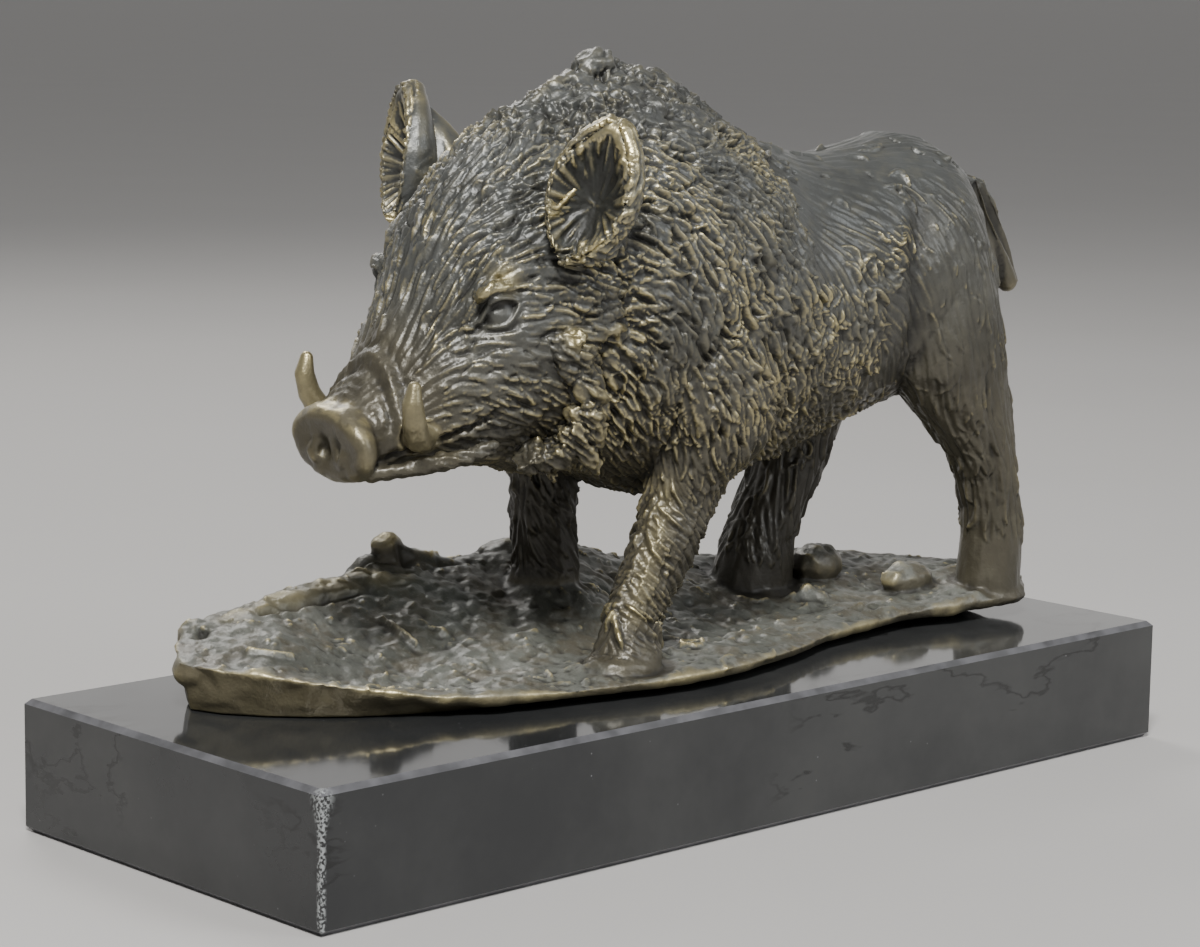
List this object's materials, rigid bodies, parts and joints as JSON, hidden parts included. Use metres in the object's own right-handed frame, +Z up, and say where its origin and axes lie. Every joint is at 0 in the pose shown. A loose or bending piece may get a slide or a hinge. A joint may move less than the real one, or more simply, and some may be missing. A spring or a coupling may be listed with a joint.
{
  "type": "bronze boar sculpture on a marble plinth",
  "caption": "Cast bronze wild boar striding over rough ground, on a rectangular plinth of polished black marble.",
  "frame": {"origin": "middle of the plinth's underside", "axes": "+X along the plinth from the boar's snout to its tail, +Y towards the boar's right side, +Z up"},
  "size_m": [0.267, 0.105, 0.1716],
  "materials": {
    "marble": "polished black marble with faint veins",
    "bronze": "dark olive-brown patina, rubbed to gold on the high places"
  },
  "bodies": {
    "root": {"marble_plinth": "marble", "bronze_boar": "bronze"}
  },
  "joints": []
}
